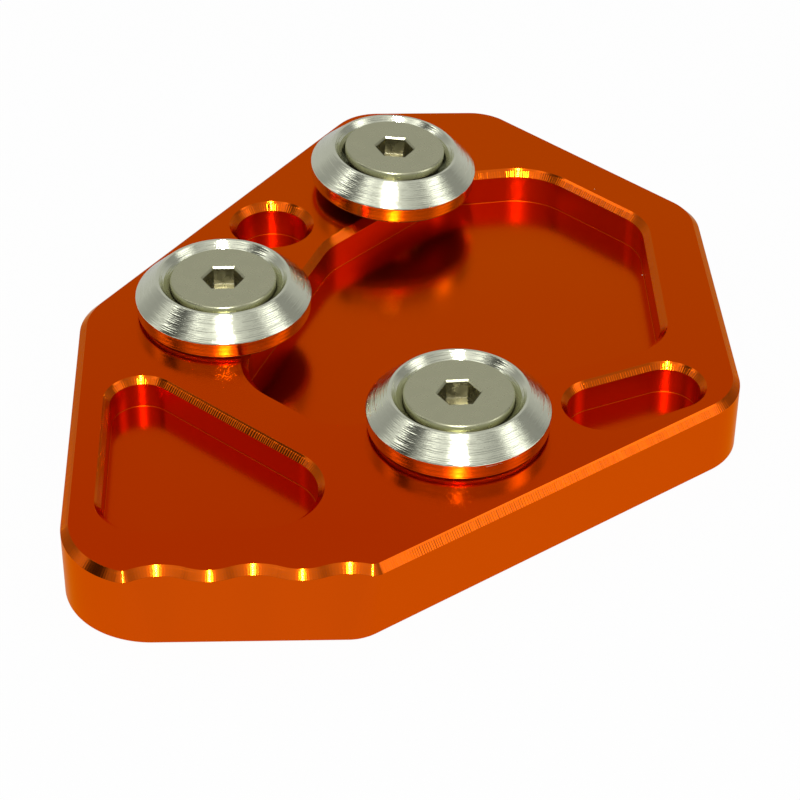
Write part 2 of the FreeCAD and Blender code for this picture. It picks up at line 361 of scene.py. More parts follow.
@dataclass(frozen=True)
class Side:
    """One straight side of an outline that is travelled clockwise, seen from above."""

    direction: float
    reach: float
    radius: float

    @property
    def outward(self) -> Vector:
        """Outward normal of the side."""
        return in_plan(self.direction + 90.0)

    def corner(self, following: "Side") -> Vector:
        """Centre of the round between this side and the next.

        Args:
            following: The next side.

        Returns:
            The centre, at height zero.
        """
        first, second = self.outward, following.outward
        near, far = self.reach - self.radius, following.reach - self.radius
        spread = first.x * second.y - first.y * second.x
        return Vector(((near * second.y - far * first.y) / spread,
                       (first.x * far - second.x * near) / spread, 0.0))

    def turn(self, following: "Side") -> float:
        """How far the outline turns to the next side, in degrees, below zero."""
        return -((self.direction - following.direction) % 360.0)


WIDE_RADIUS = 3.0
WIDE_STEP = 2.0
TINY_STEP = 5.0


def arc_steps(degrees: float, radius: float) -> int:
    """How many edges an arc gets."""
    return max(3, round(abs(degrees) / (WIDE_STEP if radius > WIDE_RADIUS else TINY_STEP)))


def draw_side(pen: Pen, side: Side, following: Side, lift: Vector, steps: int = 1) -> None:
    """Draw one side of an outline and the round after it.

    Args:
        pen: The pen, at the side's start.
        side: The side.
        following: The next side.
        lift: The outline's height, as a vector.
        steps: How many edges the straight run has.
    """
    centre = side.corner(following) + lift
    pen.line(centre + side.outward * side.radius, steps)
    turn = side.turn(following)
    pen.arc(centre, turn, arc_steps(turn, side.radius))


def draw_rounded(name: str, sides: list[Side], height: float) -> Pen:
    """Draw an outline with every corner rounded.

    Args:
        name: Name of the new object.
        sides: The sides, clockwise.
        height: Height of the outline.

    Returns:
        The pen, back at its start.
    """
    lift = UP * height
    last = sides[-1]
    pen = Pen(name, last.corner(sides[0]) + sides[0].outward * last.radius + lift)
    for side, following in zip(sides, sides[1:] + sides[:1]):
        draw_side(pen, side, following, lift)
    return pen


# Sub-assemblies


@dataclass(frozen=True)
class Pocket:
    """Blind pocket with a chamfered rim and a small round at its floor."""

    name: str
    depth: float
    chamfer: float
    floor_round: float = 0.08
    round_steps: int = 4
    rise: float = 2.0

    def cutter(self, pen: Pen, top: float) -> Piece:
        """Make the solid that cuts the pocket.

        Args:
            pen: Holds the rim's outline, drawn at the plate's top.
            top: Height of the plate's top.

        Returns:
            The cutter.
        """
        piece = pen.fill()
        bpy.ops.mesh.extrude_region_move(TRANSFORM_OT_translate={"value": (0, 0, self.rise)})
        bpy.ops.mesh.select_all(action="SELECT")
        bpy.ops.mesh.normals_make_consistent(inside=False)
        select_parts(piece, "FACE", lambda face: abs(face.calc_center_median().z - top) < CLOSE)
        bpy.ops.mesh.inset(thickness=self.chamfer, depth=self.chamfer, use_even_offset=True)
        wall = self.depth - self.chamfer
        bpy.ops.mesh.extrude_region_move(TRANSFORM_OT_translate={"value": (0, 0, -wall)})
        floor = top - self.depth
        select_parts(piece, "EDGE", lambda edge: all(
            abs(vertex.co.z - floor) < CLOSE for vertex in edge.verts))
        bpy.ops.mesh.bevel(offset=self.floor_round, segments=self.round_steps, affect="EDGES")
        return leave_edit_mode(piece)


@dataclass
class BasePlate:
    """Milled plate with scallops, pockets and screw holes, in millimetres."""

    length: float = 90.24
    thickness: float = 8.7
    edge_chamfer: float = 0.85
    bottom_break: float = 0.25
    edge_break: float = 0.09
    sharp_angle: float = 20.0
    left: Side = Side(90.58, 36.83, 8.2)
    back_left: Side = Side(54.5, 30.729, 6.5)
    back: Side = Side(0.0, 45.12, 6.9)
    corner_cut: Side = Side(-45.0, 40.602, 7.2)
    right: Side = Side(-88.5, 36.42, 7.7)
    front_right: Side = Side(-145.35, 34.0, 4.9)
    front: Side = Side(180.0, 45.12, 9.55)
    scallop_pitch: float = 9.5
    scallop_depth: float = 1.45
    scallop_radius: float = 6.2
    end_crest_radius: float = 2.0
    middle_scallop_x: float = -16.4
    main: Pocket = Pocket("main_pocket", 4.3, 0.8)
    triangle: Pocket = Pocket("triangle_pocket", 3.7, 0.7)
    slot: Pocket = Pocket("slot_pocket", 3.75, 0.68)
    recess: Pocket = Pocket("round_recess", 4.2, 0.85)
    slot_right: Vector = Vector((28.4, -13.8, 0.0))
    slot_right_radius: float = 4.4
    slot_left: Vector = Vector((21.2, -17.1, 0.0))
    slot_left_radius: float = 4.7
    recess_centre: Vector = Vector((-15.32, 18.97, 0.0))
    recess_radius: float = 5.04
    recess_steps: int = 100
    hole_radius: float = 2.68
    hole_mouth: float = 0.4
    hole_top: float = 12.0
    hole_steps: int = 64
    holes: tuple = ((5.12, -20.61), (-20.53, 1.33), (-0.95, 27.55))
    edge_trail: list = field(default_factory=list)

    @property
    def main_sides(self) -> list[Side]:
        """Sides of the big pocket's rim, clockwise."""
        return [
            Side(67.2, 14.381, 8.0),
            Side(45.0, 17.303, 8.0),
            Side(8.0, 28.797, 9.0),
            Side(-45.0, 34.702, 7.0),
            Side(-90.0, 29.82, 6.5),
            Side(-158.0, 16.801, 6.5),
            Side(138.0, 21.499, 8.5),
        ]

    @property
    def triangle_sides(self) -> list[Side]:
        """Sides of the three-cornered pocket's rim, clockwise."""
        return [Side(90.58, 33.48, 4.2), Side(-42.0, -26.599, 7.0), Side(180.0, 37.57, 5.1)]

    def scallop_rounds(self) -> list[tuple[Vector, float]]:
        """Rounds of the scalloped edge from right to left.

        Returns:
            Centre and radius of each, with hollows below zero.
        """
        hollow_y = -self.length / 2 + self.scallop_depth - self.scallop_radius
        hollows = [Vector((self.middle_scallop_x + step * self.scallop_pitch, hollow_y, 0))
                   for step in (1, 0, -1)]
        rise = math.sqrt((2 * self.scallop_radius) ** 2 - (self.scallop_pitch / 2) ** 2)
        crests = [hollow + Vector((-self.scallop_pitch / 2, rise, 0)) for hollow in hollows[:-1]]
        reach = self.scallop_radius + self.end_crest_radius
        normal, along = self.front_right.outward, in_plan(self.front_right.direction)
        foot = normal * (self.front_right.reach - self.end_crest_radius)
        offset, across = (hollows[0] - foot).dot(along), (hollows[0] - foot).dot(normal)
        right_end = foot + along * (offset - math.sqrt(reach ** 2 - across ** 2))
        corner = self.front.corner(self.left)
        inner = self.front.radius - self.end_crest_radius
        between = hollows[-1] - corner
        apart = between.length
        run = (apart ** 2 + inner ** 2 - reach ** 2) / (2 * apart)
        way = between.normalized()
        aside = Vector((-way.y, way.x, 0)) * math.sqrt(inner ** 2 - run ** 2)
        left_end = corner + way * run - aside
        rounds = [(right_end, self.end_crest_radius), (hollows[0], -self.scallop_radius)]
        for crest, hollow in zip(crests, hollows[1:]):
            rounds += [(crest, self.scallop_radius), (hollow, -self.scallop_radius)]
        return rounds + [(left_end, self.end_crest_radius)]

    def draw_outline(self, name: str, height: float, wavy: bool) -> Pen:
        """Draw the plate's outline, clockwise from the left side.

        Args:
            name: Name of the new object.
            height: Height of the outline.
            wavy: Whether the front edge has its scallops.

        Returns:
            The pen, back at its start. Both outlines have as many vertices.
        """
        lift = UP * height
        sides = [self.left, self.back_left, self.back, self.corner_cut, self.right,
                 self.front_right]
        corner = self.front.corner(self.left)
        pen = Pen(name, corner + self.left.outward * self.front.radius + lift)
        for side, following in zip(sides, sides[1:]):
            draw_side(pen, side, following, lift, steps=2)
        rounds = self.scallop_rounds()
        blend = (rounds[-1][0] - corner).normalized()
        incoming = self.front_right.outward
        turns = []
        for index, (centre, radius) in enumerate(rounds):
            outwards = 1 if radius > 0 else -1
            leaving = blend
            if index + 1 < len(rounds):
                leaving = (rounds[index + 1][0] - centre).normalized() * outwards
            turns.append(-math.degrees(incoming.angle(leaving)) * outwards)
            incoming = leaving
        counts = [arc_steps(turn, abs(radius)) for turn, (_, radius) in zip(turns, rounds)]
        if wavy:
            pen.line(rounds[0][0] + self.front_right.outward * rounds[0][1] + lift, steps=2)
            for (centre, _), turn, count in zip(rounds, turns, counts):
                pen.arc(centre + lift, turn, count)
        else:
            right_corner = self.front_right.corner(self.front) + lift
            pen.line(right_corner + self.front_right.outward * self.front_right.radius, steps=2)
            pen.arc(right_corner, self.front_right.turn(self.front), counts[0])
            stops = [centre.x for centre, _ in rounds[1:-1]]
            ends = [(first + second) / 2 for first, second in zip(stops, stops[1:])] + [corner.x]
            for end, count in zip(ends, counts[1:-1]):
                pen.line(Vector((end, -self.length / 2, height)), steps=count)
            pen.arc(corner + lift, -math.degrees(self.front.outward.angle(blend)), counts[-1])
        rest = math.degrees(blend.angle(self.left.outward))
        pen.arc(corner + lift, -rest, arc_steps(rest, self.front.radius))
        return pen

    def cap(self, pen: Pen, upwards: bool, chamfer: float) -> Piece:
        """Fill an outline and chamfer its edge.

        Args:
            pen: Holds the outline.
            upwards: Whether the cap is the plate's top.
            chamfer: Width and height of the chamfer.

        Returns:
            The object, in object mode.
        """
        piece = pen.fill()
        face_up(piece, upwards)
        bpy.ops.mesh.inset(thickness=chamfer, depth=chamfer, use_even_offset=True)
        bpy.ops.object.mode_set(mode="OBJECT")
        return piece

    def body(self) -> Piece:
        """Make the plate without its pockets and holes.

        Returns:
            The plate's object.
        """
        pen = self.draw_outline("lower", self.bottom_break, wavy=False)
        lower = self.cap(pen, upwards=False, chamfer=self.bottom_break)
        pen = self.draw_outline("base_plate_milled", self.thickness - self.edge_chamfer, wavy=True)
        self.edge_trail = pen.trail
        upper = self.cap(pen, upwards=True, chamfer=self.edge_chamfer)
        only(upper)
        lower.select_set(True)
        bpy.ops.object.join()
        bpy.ops.object.mode_set(mode="EDIT")
        select_parts(upper, "EDGE", lambda edge: edge.is_boundary)
        bpy.ops.mesh.bridge_edge_loops()
        return leave_edit_mode(upper)

    def slot_pen(self) -> Pen:
        """Draw the tapered slot's rim: two ends and their tangents.

        Returns:
            The pen, back at its start.
        """
        lift = UP * self.thickness
        along = self.slot_right - self.slot_left
        axis = math.degrees(math.atan2(along.y, along.x))
        narrowing = self.slot_left_radius - self.slot_right_radius
        taper = math.degrees(math.asin(narrowing / along.length))
        far, near = in_plan(axis + 90 - taper), in_plan(axis - 90 + taper)
        pen = Pen(self.slot.name, self.slot_left + far * self.slot_left_radius + lift)
        pen.line(self.slot_right + far * self.slot_right_radius + lift)
        right_turn, left_turn = 180 - 2 * taper, 180 + 2 * taper
        pen.arc(self.slot_right + lift, -right_turn, arc_steps(right_turn, self.slot_right_radius))
        pen.line(self.slot_left + near * self.slot_left_radius + lift)
        pen.arc(self.slot_left + lift, -left_turn, arc_steps(left_turn, self.slot_left_radius))
        return pen

    def recess_pen(self) -> Pen:
        """Draw the round recess's rim.

        Returns:
            The pen, back at its start.
        """
        centre = self.recess_centre + UP * self.thickness
        pen = Pen(self.recess.name, centre + Vector((0, self.recess_radius, 0)))
        pen.arc(centre, -360.0, self.recess_steps)
        return pen

    def hole_cutter(self, x: float, y: float) -> Piece:
        """Make the cutter of one through hole with a chamfered mouth underneath.

        Args:
            x: Place of the hole.
            y: Place of the hole.

        Returns:
            The cutter.
        """
        pen = Pen("hole", Vector((self.hole_radius, 0, self.hole_top)))
        pen.line(Vector((self.hole_radius, 0, self.hole_mouth)))
        pen.line(Vector((self.hole_radius + 2 * self.hole_mouth, 0, -self.hole_mouth)))
        piece = pen.piece
        spin_round(self.hole_steps, CLOSE)
        bpy.ops.mesh.fill_holes(sides=0)
        leave_edit_mode(piece)
        piece.data.transform(Matrix.Translation((x, y, 0)))
        return piece

    def make(self, finish: Material) -> None:
        """Build and dress the plate.

        Args:
            finish: Its material.
        """
        plate = self.body()
        trails = [self.edge_trail]
        pens = [
            (self.main, lambda: draw_rounded(self.main.name, self.main_sides, self.thickness)),
            (self.triangle,
             lambda: draw_rounded(self.triangle.name, self.triangle_sides, self.thickness)),
            (self.slot, self.slot_pen),
            (self.recess, self.recess_pen),
        ]
        for pocket, draw in pens:
            pen = draw()
            trails.append(pen.trail)
            cut_with(plate, pocket.cutter(pen, self.thickness))
        for x, y in self.holes:
            cut_with(plate, self.hole_cutter(x, y))
        break_edges(plate, self.edge_break, self.sharp_angle)
        mark_along(plate, trails)
        to_metres(plate)
        hand_over(plate, "base_plate", finish)


def turned(name: str, profile: list[tuple[float, float, float]], steps: int,
           round_steps: int = 4) -> Piece:
    """Spin a profile with its corners rounded. One that starts on the axis stays open at its end.

    Args:
        name: Name of the new object.
        profile: Radius, height and corner round of each point, in order.
        steps: Faces round the turn.
        round_steps: Faces across each corner round.

    Returns:
        The object, in object mode.
    """
    spots = [(Vector((radius, 0, height)), rounding) for radius, height, rounding in profile]
    start = spots[0][0]
    pen = Pen(name, start)
    for spot, _ in spots[1:] + (spots[:1] if start.x > 0 else []):
        pen.line(spot)
    piece = pen.piece
    weld(VERY_CLOSE)
    for spot, rounding in spots:
        if rounding > 0:
            select_parts(piece, "VERT", lambda vertex: (vertex.co - spot).length < VERY_CLOSE)
            bpy.ops.mesh.bevel(offset=rounding, segments=round_steps, affect="VERTICES")
    measure_along(piece)
    spin_round(steps, VERY_CLOSE)
    return leave_edit_mode(piece)


@dataclass
class Clamp:
    """One washer and its screw, made about the z axis with the plate's top at height zero."""

    name: str
    x: float
    y: float
    plate_top: float
    socket_turn: float = 0.0
    tilt: float = 0.0
    low_direction: float = 0.0
    screw_lift: float = 0.0
    pivot: Vector = Vector((0, 0, 0))
    lean: Vector = Vector((0, 0, 0))
    washer_radius: float = 10.0
    washer_height: float = 4.7
    foot_radius: float = 9.3
    foot_height: float = 0.5
    small_break: float = 0.08
    band_taper: float = 0.15
    band_height: float = 1.85
    edge_break: float = 0.12
    ridge_radius: float = 7.55
    ridge_round: float = 0.07
    bore_radius: float = 3.4
    wide_break: float = 0.1
    washer_smooth_angle: float = 30.0
    head_radius: float = 6.0
    head_land: float = 1.05
    head_round: float = 0.35
    head_recess: float = 0.2
    seat_gap: float = 0.057
    fine_break: float = 0.05
    screw_sharp_angle: float = 28.0
    shank_radius: float = 2.45
    shank_end: float = -5.5
    shank_end_chamfer: float = 0.5
    across_flats: float = 4.0
    socket_depth: float = 2.3
    drill_depth: float = 0.7
    rim_chamfer: float = 0.24
    steps: int = 160
    head_steps: int = 96

    @property
    def head_top(self) -> float:
        """Height of the screw's flat top."""
        return self.washer_height - self.head_recess

    @property
    def land_bottom(self) -> float:
        """Height at which the head's cylindrical land ends."""
        return self.head_top - self.head_land

    @property
    def socket_corner(self) -> float:
        """Distance from the screw's axis to a corner of its socket."""
        return self.across_flats / 2 / math.cos(math.radians(30))

    def place(self, is_screw: bool) -> Matrix:
        """Where the washer or the screw goes.

        Args:
            is_screw: Whether the lift and the socket's turn count.

        Returns:
            The matrix, in millimetres.
        """
        spot = Matrix.Translation(Vector((self.x, self.y, self.plate_top)))
        if is_screw:
            spin = Matrix.Rotation(math.radians(self.socket_turn), 4, "Z")
            spot = Matrix.Translation((0, 0, self.screw_lift)) @ spot @ spin
        if self.tilt:
            axis = in_plan(self.low_direction + 90.0)
            turn = Matrix.Rotation(math.radians(self.tilt), 4, axis)
            about = Matrix.Translation(self.pivot) @ turn @ Matrix.Translation(-self.pivot)
            spot = about @ Matrix.Translation(self.lean) @ spot
        return spot

    def washer(self, finish: Material) -> None:
        """Build and dress the washer.

        Args:
            finish: Its material.
        """
        band_top = self.foot_height + self.band_height
        rim = self.washer_radius - self.band_taper
        seat = self.head_radius + self.seat_gap
        seat_top = seat + self.washer_height - self.land_bottom
        throat = self.land_bottom - (seat - self.bore_radius)
        piece = turned("washer_" + self.name, [
            (self.bore_radius, 0.0, self.wide_break),
            (self.foot_radius, 0.0, self.small_break),
            (self.foot_radius, self.foot_height, self.small_break),
            (rim, self.foot_height, self.edge_break),
            (self.washer_radius, band_top, self.edge_break),
            (self.ridge_radius, self.washer_height, self.ridge_round),
            (seat_top, self.washer_height, self.fine_break),
            (self.bore_radius, throat, self.wide_break),
        ], self.steps)
        shade(piece, self.washer_smooth_angle)
        keep_local(piece)
        to_metres(piece, self.place(is_screw=False))
        hand_over(piece, "clamp_washer_" + self.name, finish)

    def sink_socket(self, piece: Piece) -> None:
        """Model the hexagon socket into the open top of the head.

        Args:
            piece: The spun screw, open where its flat top belongs, in object mode.
        """
        mouth = self.socket_corner + self.rim_chamfer
        only(piece)
        bpy.ops.object.mode_set(mode="EDIT")
        bpy.ops.mesh.select_mode(type="VERT")
        bpy.ops.mesh.select_all(action="DESELECT")
        bpy.ops.mesh.primitive_circle_add(vertices=6, radius=mouth, location=(0, 0, self.head_top),
                                          rotation=(0, 0, math.radians(30)))
        bpy.ops.mesh.subdivide(number_cuts=self.head_steps // 6 - 1)
        bpy.ops.object.mode_set(mode="OBJECT")
        bpy.ops.object.mode_set(mode="EDIT")
        # Each ring's size next to the ring before it, how far it sinks, and how round it becomes.
        rings = [
            (self.socket_corner / mouth, -self.rim_chamfer, 0.0),
            (1.0, -(self.socket_depth - self.rim_chamfer), 0.0),
            (0.8, 0.0, 1.0),
            (0.12, -self.drill_depth, 0.0),
        ]
        for share, sink, roundness in rings:
            bpy.ops.mesh.extrude_edges_move(TRANSFORM_OT_translate={"value": (0, 0, sink)})
            bpy.ops.transform.resize(value=(share, share, 1.0), center_override=(0, 0, 0))
            if roundness:
                bpy.ops.transform.tosphere(value=roundness)
        bpy.ops.mesh.edge_face_add()
        top = self.head_top
        select_parts(piece, "EDGE", lambda edge: edge.is_boundary and all(
            abs(vertex.co.z - top) < VERY_CLOSE for vertex in edge.verts))
        bpy.ops.mesh.bridge_edge_loops()
        leave_edit_mode(piece)

    def paint_screw_shade(self, piece: Piece, slack: float = 0.05) -> None:
        """Mark the screw's painted shade: its socket, from 0 at the mouth to 1, and its side.

        Args:
            piece: The screw, before it goes to its place.
            slack: How far the socket's marks reach past its corners, in millimetres.
        """
        side_top = self.head_top - self.head_round - 0.02
        marks = []
        for vertex in piece.data.vertices:
            radius, height = math.hypot(vertex.co.x, vertex.co.y), vertex.co.z
            mark = 0.0
            if radius > self.head_radius - 2 * slack and height < side_top:
                mark = 1.0
            elif radius < self.socket_corner + slack and height > 0:
                depth = (self.head_top - self.rim_chamfer * 0.5 - height) / self.rim_chamfer
                mark = min(1.0, max(0.0, depth))
            marks.append(mark)
        piece.data.attributes.new(PAINTED_SHADE, "FLOAT", "POINT").data.foreach_set("value", marks)

    def screw(self, finish: Material) -> None:
        """Build and dress the screw.

        Args:
            finish: Its material.
        """
        cone = self.head_radius - self.shank_radius
        piece = turned("screw_" + self.name, [
            (0.0, self.shank_end, 0.0),
            (self.shank_radius - self.shank_end_chamfer, self.shank_end, self.fine_break),
            (self.shank_radius, self.shank_end + self.shank_end_chamfer, self.fine_break),
            (self.shank_radius, self.land_bottom - cone, self.wide_break),
            (self.head_radius, self.land_bottom, self.small_break),
            (self.head_radius, self.head_top, self.head_round),
            (self.head_radius - 2 * self.head_round, self.head_top, 0.0),
        ], self.head_steps)
        self.sink_socket(piece)
        break_edges(piece, self.fine_break, self.screw_sharp_angle)
        self.paint_screw_shade(piece)
        to_metres(piece, self.place(is_screw=True))
        hand_over(piece, "clamp_screw_" + self.name, finish)


# Finishes


class NodeSheet:
    """Adds and joins nodes in one node tree."""

    def __init__(self, tree: NodeTree) -> None:
        """Take a tree and clear it."""
        self.tree = tree
        tree.nodes.clear()

    def add(self, kind: str, inputs: dict | None = None, **settings: object) -> bpy.types.Node:
        """Add one node.

        Args:
            kind: Blender's name of the node.
            inputs: Value or source socket for each named or numbered input.
            settings: Values of the node itself.

        Returns:
            The node.
        """
        node = self.tree.nodes.new(kind)
        for name, value in settings.items():
            setattr(node, name, value)
        for name, value in (inputs or {}).items():
            if isinstance(value, Socket):
                self.tree.links.new(value, node.inputs[name])
            else:
                node.inputs[name].default_value = value
        return node

    def math(self, operation: str, *values: Value, kind: str = "ShaderNodeMath") -> Socket:
        """Add one math node."""
        return self.add(kind, dict(enumerate(values)), operation=operation).outputs[0]

    def ramp(self, source: Socket, limits: tuple[float, float],
             start: float = 0.0, end: float = 1.0) -> Socket:
        """Map one range of numbers onto another."""
        values = {0: source, 1: limits[0], 2: limits[1], 3: start, 4: end}
        return self.add("ShaderNodeMapRange", values, clamp=True).outputs[0]

    def blend(self, factor: Value, first: Value, second: Value, kind: str = "RGBA") -> Socket:
        """Blend two colours or numbers.

        Args:
            factor: How much of the second.
            first: Value or socket.
            second: Value or socket.
            kind: RGBA or FLOAT.

        Returns:
            The blend.
        """
        first_slot, output = (6, 2) if kind == "RGBA" else (2, 0)
        inputs = {0: factor, first_slot: first, first_slot + 1: second}
        return self.add("ShaderNodeMix", inputs, data_type=kind).outputs[output]

    def metal(self, inputs: dict) -> None:
        """End a material in a metallic surface."""
        shader = self.add("ShaderNodeBsdfPrincipled", {"Metallic": 1.0} | inputs)
        self.add("ShaderNodeOutputMaterial", {"Surface": shader.outputs[0]})


def plain_material(name: str) -> tuple[Material, NodeSheet]:
    """Make an empty node material.

    Args:
        name: Its name.

    Returns:
        The material and its node sheet.
    """
    material = bpy.data.materials.new(name)
    material.use_nodes = True
    return material, NodeSheet(material.node_tree)


def new_group(name: str, inputs: dict, outputs: list[str]) -> tuple[NodeSheet, dict]:
    """Make an empty shader node group.

    Args:
        name: Its name.
        inputs: Each input with its number, or with None where it takes a vector.
        outputs: Each number output.

    Returns:
        The group's node sheet and the sockets of its inputs.
    """
    tree = bpy.data.node_groups.new(name, "ShaderNodeTree")
    for socket, value in inputs.items():
        kind = "NodeSocketVector" if value is None else "NodeSocketFloat"
        made = tree.interface.new_socket(name=socket, in_out="INPUT", socket_type=kind)
        if value is not None:
            made.default_value = value
    for socket in outputs:
        tree.interface.new_socket(name=socket, in_out="OUTPUT", socket_type="NodeSocketFloat")
    sheet = NodeSheet(tree)
    return sheet, sheet.add("NodeGroupInput").outputs


def tool_marks_group(wander: float = 9.0, swing: float = 0.25,
                     spread: float = 4.0) -> NodeTree:
    """Make the group of fine lines that a tool leaves across its travel.

    Args:
        wander: How far the lines drift from an even pitch.
        swing: Height of the even lines.
        spread: Height of the unevenness.

    Returns:
        The group. Its height runs from 0 to 1 and changes only along the tool's path.
    """
    sheet, given = new_group("tool_marks", {"Pitch": 0.3, "Unevenness": 0.5}, ["Height"])
    run = sheet.add("ShaderNodeAttribute", attribute_name=ALONG).outputs["Fac"]
    lines = sheet.math("DIVIDE", run, given["Pitch"])
    drift = sheet.add("ShaderNodeTexNoise", {"W": run, "Scale": 0.35, "Detail": 1.0},
                      noise_dimensions="1D")
    drift = sheet.math("MULTIPLY", drift.outputs["Fac"], wander)
    wave = sheet.math("SINE", sheet.math("ADD", sheet.math("MULTIPLY", lines, math.tau), drift))
    rough = sheet.add("ShaderNodeTexNoise", {"W": lines, "Scale": 0.5, "Detail": 3.0},
                      noise_dimensions="1D")
    rough = sheet.math("SUBTRACT", rough.outputs["Fac"], 0.5)
    uneven = sheet.math("MULTIPLY", rough, sheet.math("MULTIPLY", given["Unevenness"], spread))
    height = sheet.math("ADD", sheet.math("MULTIPLY_ADD", wave, swing, 0.5), uneven)
    sheet.add("NodeGroupOutput", {"Height": height})
    return sheet.tree


def dust_group(least: float = 0.4) -> NodeTree:
    """Make the group of sparse tiny specks.

    Args:
        least: Share of the full size that the smallest specks have.

    Returns:
        The group. Its mask is 1 on a speck and 0 elsewhere.
    """
    inputs = {"Place": None, "Scale": 240.0, "Size": 0.02, "Share": 0.2}
    sheet, given = new_group("dust_specks", inputs, ["Mask"])
    cells = sheet.add("ShaderNodeTexVoronoi", {"Vector": given["Place"], "Scale": given["Scale"]})
    pick = sheet.add("ShaderNodeSeparateColor", {0: cells.outputs["Color"]}).outputs
    size = sheet.math("MULTIPLY", given["Size"], sheet.math("ADD", pick[1], least))
    near = sheet.math("LESS_THAN", cells.outputs["Distance"], size)
    chosen = sheet.math("LESS_THAN", pick[0], given["Share"])
    sheet.add("NodeGroupOutput", {"Mask": sheet.math("MULTIPLY", near, chosen)})
    return sheet.tree


def cloud_group() -> NodeTree:
    """Make the group of slow unevenness and fine grain.

    Returns:
        The group, with a slow cloud and a fine grain from 0 to 1.
    """
    inputs = {"Place": None, "Cloud Scale": 60.0, "Grain Scale": 6000.0}
    sheet, given = new_group("cloud_and_grain", inputs, ["Cloud", "Grain"])
    noises = {kind: sheet.add("ShaderNodeTexNoise", {
        "Vector": given["Place"], "Scale": given[kind + " Scale"], "Detail": 3.0}).outputs["Fac"]
        for kind in ("Cloud", "Grain")}
    sheet.add("NodeGroupOutput", noises)
    return sheet.tree


@dataclass(frozen=True)
class Effects:
    """The node groups that the finishes share."""

    tool_marks: NodeTree
    dust: NodeTree
    cloud: NodeTree

    @staticmethod
    def make() -> "Effects":
        """Build each group once."""
        return Effects(tool_marks_group(), dust_group(), cloud_group())


class Finish:
    """What the finishes share: their own place, a slow cloud and a fine grain."""

    name: str
    cloud_scale: float
    grain_scale: float

    def build(self, effects: Effects) -> Material:
        """Make the material.

        Args:
            effects: The shared node groups.

        Returns:
            The material.
        """
        material, sheet = plain_material(self.name)
        place = sheet.add("ShaderNodeTexCoord").outputs["Object"]
        noise = sheet.add("ShaderNodeGroup", node_tree=effects.cloud, inputs={
            "Place": place, "Cloud Scale": self.cloud_scale, "Grain Scale": self.grain_scale})
        sheet.metal(self.dress(sheet, effects, place, noise.outputs))
        return material

    def dress(self, sheet: NodeSheet, effects: Effects, place: Socket, noise: dict) -> dict:
        """Draw the nodes that differ from finish to finish."""
        raise NotImplementedError


